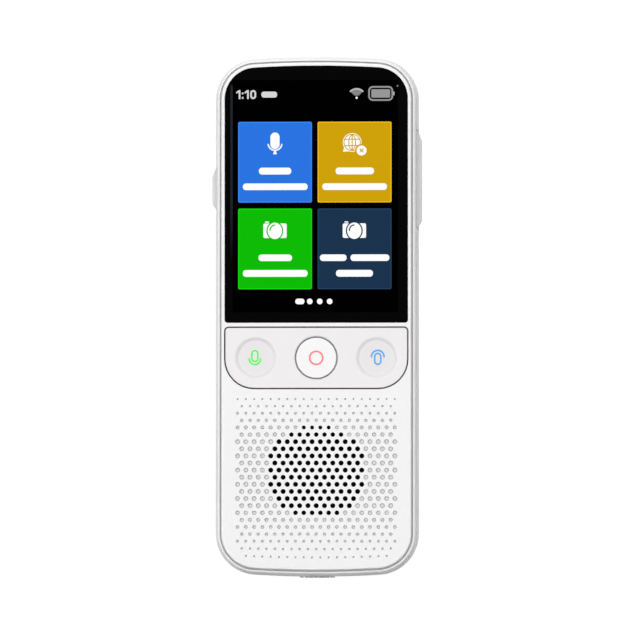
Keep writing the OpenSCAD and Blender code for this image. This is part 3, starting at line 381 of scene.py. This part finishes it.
# The display shows a deeper black than the print round it
DISPLAY_PX = (232.5, 79.7, 398.0, 312.2)
deep_black = Shader("display black", (0, 0, 0), 0.05)
deep_black.set("Specular IOR Level", 0.15)
deep_black.uneven(200, 0.04, 0.07)
prism("display_window", [px_box(*DISPLAY_PX, 0.6)], GLASS_TOP, GLASS_TOP + LAYER / 2, deep_black)
TILES = (
    ("blue", (38, 114, 226), 238.0, 121.5, 311.9, 202.4),
    ("yellow", (207, 161, 3), 317.6, 121.5, 391.6, 202.4),
    ("green", (8, 187, 0), 238.0, 208.4, 311.9, 289.2),
    ("navy", (22, 48, 75), 317.6, 208.4, 391.6, 289.2),
)
z_tile = GLASS_TOP + LAYER
z_mark = GLASS_TOP + 2 * LAYER
EDGE_PX = 1.1
tile_shader = {}
for tile, srgb, left, top, right, bottom in TILES:
    tile_shader[tile] = screen_colour("screen " + tile, srgb)
    rim = screen_colour("screen rim " + tile, [min(255, c * 1.12 + 8) for c in srgb])
    prism("tile_rim_" + tile, [px_box(left, top, right, bottom, 1.6)], GLASS_TOP, z_tile, rim)
    inner = px_box(left + EDGE_PX, top + EDGE_PX, right - EDGE_PX, bottom - EDGE_PX, 0.8)
    prism("tile_" + tile, [inner], z_tile, z_mark, tile_shader[tile])


def mark(name, loops, shader=None, level=2):
    """A white mark on the picture; level 2 lies on a tile, level 0 on the black glass."""
    z0 = GLASS_TOP + level * LAYER
    return prism(name, loops, z0, z0 + LAYER, shader or WHITE)


# Rows of plain bars stand where the screen has words
BARS = {
    "blue": ((258.8, 165.8, 291.2, 175.9), (242.7, 181.6, 307.6, 191.5)),
    "yellow": ((335.6, 165.8, 374.0, 175.9), (322.3, 181.6, 387.0, 191.5)),
    "green": ((258.4, 252.8, 292.0, 262.6), (242.7, 268.3, 307.6, 278.3)),
    "navy": ((319.9, 252.8, 346.6, 262.6), (350.5, 252.8, 389.4, 262.6), (336.0, 268.3, 373.0, 278.3)),
}
for tile, bars in BARS.items():
    loops = [px_box(x0, y0 + 1.6, x1, y1 - 1.6, 3.0) for x0, y0, x1, y1 in bars]
    mark("bars_" + tile, loops)


def microphone(name, px, top):
    """Solid capsule over a curved stand with a foot."""
    x, y = at(px, top)
    capsule = rounded(x - 1.15, y - 4.15, x + 1.15, y, 1.15, 10)
    cradle = stroke(arc(x, y - 2.75, 1.72, 188, 352, 24), 0.34)
    foot = [(x - 0.15, y - 4.5), (x + 0.15, y - 4.5), (x + 0.5, y - 5.45), (x - 0.5, y - 5.45)]
    mark(name, [capsule])
    mark(name + "_stand", [cradle])
    mark(name + "_foot", [foot])


microphone("mic_mark", 274.9, 132.2)


def ellipse(x, y, rx, ry, steps=40):
    return [(x + rx * math.cos(2 * math.pi * i / steps), y + ry * math.sin(2 * math.pi * i / steps))
            for i in range(steps)]


def globe_mark(px, py, tile):
    """Globe in a round speech bubble, with a small cross badge."""
    x, y = at(px, py)
    r = 2.35
    line = 0.24
    colour = tile_shader[tile]
    tail = [(x - 1.95, y - 1.0), (x - 2.3, y - 2.35), (x - 0.6, y - 2.2)]
    mark("bubble", [ellipse(x, y, r, r)])
    mark("bubble_tail", [tail])
    inner = r - 0.42
    mark("globe_oval", [ellipse(x, y, 0.85 + line / 2, inner), ellipse(x, y, 0.85 - line / 2, inner - line)],
         colour, 3)
    for i, dy in enumerate((-0.8, 0.8)):
        half = math.sqrt(inner ** 2 - dy ** 2)
        mark(f"globe_line_{i}", [stroke([(x - half, y + dy), (x + half, y + dy)], line)], colour, 4)
    mark("globe_axis", [stroke([(x, y - inner), (x, y + inner)], line)], colour, 5)
    mark("globe_rim", [ellipse(x, y, inner + line, inner + line), ellipse(x, y, inner, inner)], colour, 4)
    bx, by = at(px + 9.4, py + 8.1)
    mark("badge_gap", [ellipse(bx, by, 1.62, 1.62)], colour, 6)
    mark("badge", [ellipse(bx, by, 1.25, 1.25)], level=7)
    for i, turn in enumerate((45, 135)):
        c, s = math.cos(math.radians(turn)) * 0.5, math.sin(math.radians(turn)) * 0.5
        mark(f"badge_cross_{i}", [stroke([(bx - c, by - s), (bx + c, by + s)], 0.3)], colour, 8 + i)


globe_mark(352.2, 142.3, "yellow")


def camera_mark(name, px, py, tile):
    """Body, a lens that stands clear of it, a glint on the lens and a release button."""
    x, y = at(px, py)
    colour = tile_shader[tile]
    mark(name, [rounded(x - 2.9, y - 1.8, x + 2.95, y + 1.85, 0.4)])
    mark(name + "_button", [rounded(x - 2.45, y + 2.02, x - 1.5, y + 2.35, 0.15)])
    mark(name + "_gap", [ellipse(x, y, 2.12, 2.35)], colour, 3)
    mark(name + "_lens", [ellipse(x, y, 1.8, 2.05)], level=4)
    glint = [(x - 0.05 + 1.18 * math.cos(math.radians(a)), y + 0.05 + 1.38 * math.sin(math.radians(a)))
             for a in range(90, 186, 8)]
    mark(name + "_glint", [stroke(glint, 0.32)], colour, 5)


camera_mark("camera_mark_left", 274.8, 230.7, "green")
camera_mark("camera_mark_right", 354.3, 230.7, "navy")

# Page marks at the foot of the screen
mark("page_pill", [px_box(295.2, 298.6, 304.5, 304.2, 2.8)], level=0)
for i, px in enumerate((309.75, 319.7, 329.65)):
    mark(f"page_dot_{i}", [circle(px, 301.4, 2.8, 20)], level=0)

# Signal fan and battery, in greys
GREY = screen_colour("screen grey", (150, 150, 150))
DIM = screen_colour("screen dim grey", (118, 118, 118))
BRIGHT = screen_colour("screen bright grey", (196, 196, 196))
fan_x, fan_y = at(356.7, 97.6)
FAN_R = 2.4
FAN_HALF = 46
fan_edge = arc(fan_x, fan_y, FAN_R, 90 + FAN_HALF, 90 - FAN_HALF, 16)
mark("fan", [[(fan_x, fan_y + 0.35)] + fan_edge], DIM, 0)
for i, r in enumerate((0.95, 1.4, 1.85)):
    mark(f"fan_arc_{i}", [stroke(arc(fan_x, fan_y, r, 132, 48, 12), 0.2)], GREY, 1)
mark("fan_top", [stroke(arc(fan_x, fan_y, FAN_R - 0.15, 90 + FAN_HALF - 2, 90 - FAN_HALF + 2, 16), 0.34)],
     BRIGHT, 1)
mark("fan_dot", [circle(356.7, 97.6, 1.1, 16)], level=2)
mark("battery_ring", [px_box(368.3, 85.9, 393.2, 100.7, 4.6), px_box(369.9, 87.5, 391.6, 99.1, 3.2)],
     GREY, 0)
mark("battery_fill", [px_box(371.4, 89.1, 390.2, 97.5, 1.2)], GREY, 0)
mark("battery_tip", [px_box(393.4, 91.4, 394.5, 95.2, 0.5)], BRIGHT, 0)

# Clock in plain digits, with a bar in place of its letters
CLOCK = screen_colour("screen clock", (214, 214, 214))
DIGIT_H = 9.0 * PX
LINE = 0.44            # width of a digit's lines
ZERO_W = 1.5


def one(x, y):
    return [[(x + 0.72, y), (x + 0.72 + LINE, y), (x + 0.72 + LINE, y + DIGIT_H), (x + 0.8, y + DIGIT_H),
             (x + 0.12, y + 0.8 * DIGIT_H), (x + 0.12, y + 0.6 * DIGIT_H), (x + 0.72, y + 0.74 * DIGIT_H)]]


def zero(x, y):
    return [rounded(x, y, x + ZERO_W, y + DIGIT_H, 0.75, 8),
            rounded(x + LINE, y + LINE, x + ZERO_W - LINE, y + DIGIT_H - LINE, 0.31, 8)]


def colon(x, y):
    return [rounded(x, y + low, x + LINE, y + low + LINE, 0.1) for low in (0.08, 1.2)]


pen_x, pen_y = at(235.6, 98.6)
for i, (shape, advance) in enumerate(((one, 1.5), (colon, 0.6), (one, 1.5), (zero, 0))):
    mark(f"clock_{i}", shape(pen_x, pen_y), CLOCK, 0)
    pen_x += advance
mark("clock_bar", [px_box(261.2, 91.2, 277.0, 97.2, 2.6)], CLOCK, 0)

# Painted reflection: a faint glowing strip along the display's left edge, strongest half way up
REFLECTION_LOW, REFLECTION_HIGH, REFLECTION_LEVEL = 0.014, 0.029, 0.85
painted_reflection = Shader("painted reflection", (6, 6, 8), 0.08)
coord = painted_reflection.node("ShaderNodeTexCoord")
place = painted_reflection.node("ShaderNodeSeparateXYZ")
painted_reflection.link(coord.outputs["Object"], place.inputs[0])
fade = painted_reflection.node("ShaderNodeMapRange")
for socket, value in (("From Min", REFLECTION_LOW), ("From Max", REFLECTION_HIGH), ("To Min", 0.0),
                      ("To Max", REFLECTION_LEVEL)):
    fade.inputs[socket].default_value = value
painted_reflection.link(place.outputs["Y"], fade.inputs["Value"])
painted_reflection.set("Emission Color", linear((36, 38, 46)))
painted_reflection.link(fade.outputs["Result"], painted_reflection.bsdf.inputs["Emission Strength"])
mark("painted_reflection_strip", [px_box(230.2, 84.6, 232.5, 262.0, 0.3)], painted_reflection, 0)

# Light sensor beside the screen
mark("light_sensor", [circle(397.6, 85.8, 0.95, 16)], DIM, 0)

# ---------------------------------------------------------------------------------------------
# Floor, lights and camera
# ---------------------------------------------------------------------------------------------
def seen_directly(tree):
    """1 for camera, glossy and transmission rays, which see the pale background itself."""
    path = tree.nodes.new("ShaderNodeLightPath").outputs
    sharp = math_node(tree, "MAXIMUM", path["Is Camera Ray"], path["Is Glossy Ray"])
    return math_node(tree, "MAXIMUM", sharp, path["Is Transmission Ray"])


FLOOR_ALBEDO = 0.22
FLOOR_GLOW = 0.89
FLOOR_HALF = 3.0
FLOOR_GAP = 0.0002
floor_mesh = bpy.data.meshes.new("floor")
corners = [(x * FLOOR_HALF, y * FLOOR_HALF, 0) for x, y in ((-1, -1), (1, -1), (1, 1), (-1, 1))]
floor_mesh.from_pydata(corners, [], [(0, 1, 2, 3)])
floor = bpy.data.objects.new("floor", floor_mesh)
floor.location.z = -FLOOR_GAP
bpy.context.scene.collection.objects.link(floor)
floor_mat = bpy.data.materials.new("floor")
floor_mat.use_nodes = True
tree = floor_mat.node_tree
bsdf = tree.nodes["Principled BSDF"]
bsdf.inputs["Base Color"].default_value = (FLOOR_ALBEDO, FLOOR_ALBEDO, FLOOR_ALBEDO, 1)
bsdf.inputs["Roughness"].default_value = 0.9
bsdf.inputs["Specular IOR Level"].default_value = 0.0
bsdf.inputs["Emission Color"].default_value = (1, 1, 1, 1)
tree.links.new(math_node(tree, "MULTIPLY", seen_directly(tree), FLOOR_GLOW),
               bsdf.inputs["Emission Strength"])
floor_mesh.materials.append(floor_mat)

# The sky is brighter towards the object's top end and left side, with a dark card straight above
SKY = 0.40
SKY_TOP = 0.15
SKY_LEFT = 0.08
CARD_START, CARD_FULL, CARD_LEVEL = 0.955, 0.975, 0.06
world = bpy.data.worlds.new("world")
bpy.context.scene.world = world
world.use_nodes = True
tree = world.node_tree
background = tree.nodes["Background"]
background.inputs["Color"].default_value = (1, 1, 1, 1)
direction = tree.nodes.new("ShaderNodeSeparateXYZ")
tree.links.new(tree.nodes.new("ShaderNodeTexCoord").outputs["Generated"], direction.inputs[0])
toward_top = math_node(tree, "MULTIPLY", direction.outputs["Y"], SKY_TOP)
toward_left = math_node(tree, "MULTIPLY", direction.outputs["X"], -SKY_LEFT)
sky = math_node(tree, "ADD", math_node(tree, "ADD", toward_top, toward_left), SKY)
card = tree.nodes.new("ShaderNodeMapRange")
for socket, value in (("From Min", CARD_START), ("From Max", CARD_FULL), ("To Min", 1.0),
                      ("To Max", CARD_LEVEL)):
    card.inputs[socket].default_value = value
tree.links.new(direction.outputs["Z"], card.inputs["Value"])
sky = math_node(tree, "MULTIPLY", sky, card.outputs["Result"])
camera_ray = tree.nodes.new("ShaderNodeLightPath").outputs["Is Camera Ray"]
tree.links.new(math_node(tree, "MAXIMUM", sky, camera_ray), background.inputs["Strength"])


def lamp(name, place, target, size, power):
    light = bpy.data.lights.new(name, "AREA")
    light.shape = "RECTANGLE"
    light.size, light.size_y = size
    light.energy = power
    obj = bpy.data.objects.new(name, light)
    obj.location = place
    obj.rotation_euler = (Vector(target) - Vector(place)).to_track_quat("-Z", "Y").to_euler()
    obj.visible_camera = False
    bpy.context.scene.collection.objects.link(obj)


# Four soft boxes stand round the camera, so that the light is nearly frontal
LAMP_OUT, LAMP_UP = 1.05, 2.35
for name, x, y, power in (("top", 0, 1, 15.0), ("bottom", 0, -1, 11.0),
                          ("left", -1, 0, 14.5), ("right", 1, 0, 11.0)):
    lamp(name + "_light", (x * LAMP_OUT, y * LAMP_OUT, LAMP_UP), (0, 0, 0), (2.0, 0.8), power)

# Low strips of light, under the level of the front, brighten the edge at the top end and at the left
EDGE_Z, EDGE_H = 0.008, 0.01
for name, x, y, length, power in (("top", 0, 0.17, 0.16, 0.048), ("left", -0.13, 0, 0.2, 0.016)):
    lamp(name + "_edge_light", (x, y, EDGE_Z), (0, 0, EDGE_Z), (length, EDGE_H), power)

# A black flag just outside the picture keeps low light off the bottom end
FLAG_Y, FLAG_H, FLAG_HALF = -0.0855, 0.031, 0.09
flag_mesh = bpy.data.meshes.new("flag")
flag_mesh.from_pydata([(-FLAG_HALF, FLAG_Y, 0), (FLAG_HALF, FLAG_Y, 0), (FLAG_HALF, FLAG_Y, FLAG_H),
                       (-FLAG_HALF, FLAG_Y, FLAG_H)], [], [(0, 1, 2, 3)])
flag_mesh.materials.append(Shader("flag", (0, 0, 0), 1.0).mat)
flag = bpy.data.objects.new("flag", flag_mesh)
flag.visible_camera = False
bpy.context.scene.collection.objects.link(flag)

scene = bpy.context.scene
scene.view_settings.view_transform = "Standard"

FRONT_Z = 0.013
PICTURE_MM = 640 * PX
SENSOR_MM = 36
DISTANCE = 1.6
YAW, PITCH = 2.4, -1.4            # the camera stands a little to the right of and below the middle
offset_x, offset_y = (320 - CENTRE_PX[0]) * PX * MM, (CENTRE_PX[1] - 320) * PX * MM
target = Vector((offset_x, offset_y, FRONT_Z))
toward = Vector((math.tan(math.radians(YAW)), math.tan(math.radians(PITCH)), 1)).normalized()
x_axis = Vector((0, 1, 0)).cross(toward).normalized()
rotation = Matrix((x_axis, toward.cross(x_axis), toward)).transposed()
camera_data = bpy.data.cameras.new("camera")
camera_data.sensor_width = SENSOR_MM
camera_data.lens = SENSOR_MM * DISTANCE / (PICTURE_MM * MM)
camera_data.clip_end = 20
camera = bpy.data.objects.new("camera", camera_data)
camera.matrix_world = Matrix.Translation(target + toward * DISTANCE) @ rotation.to_4x4()
scene.collection.objects.link(camera)
scene.camera = camera
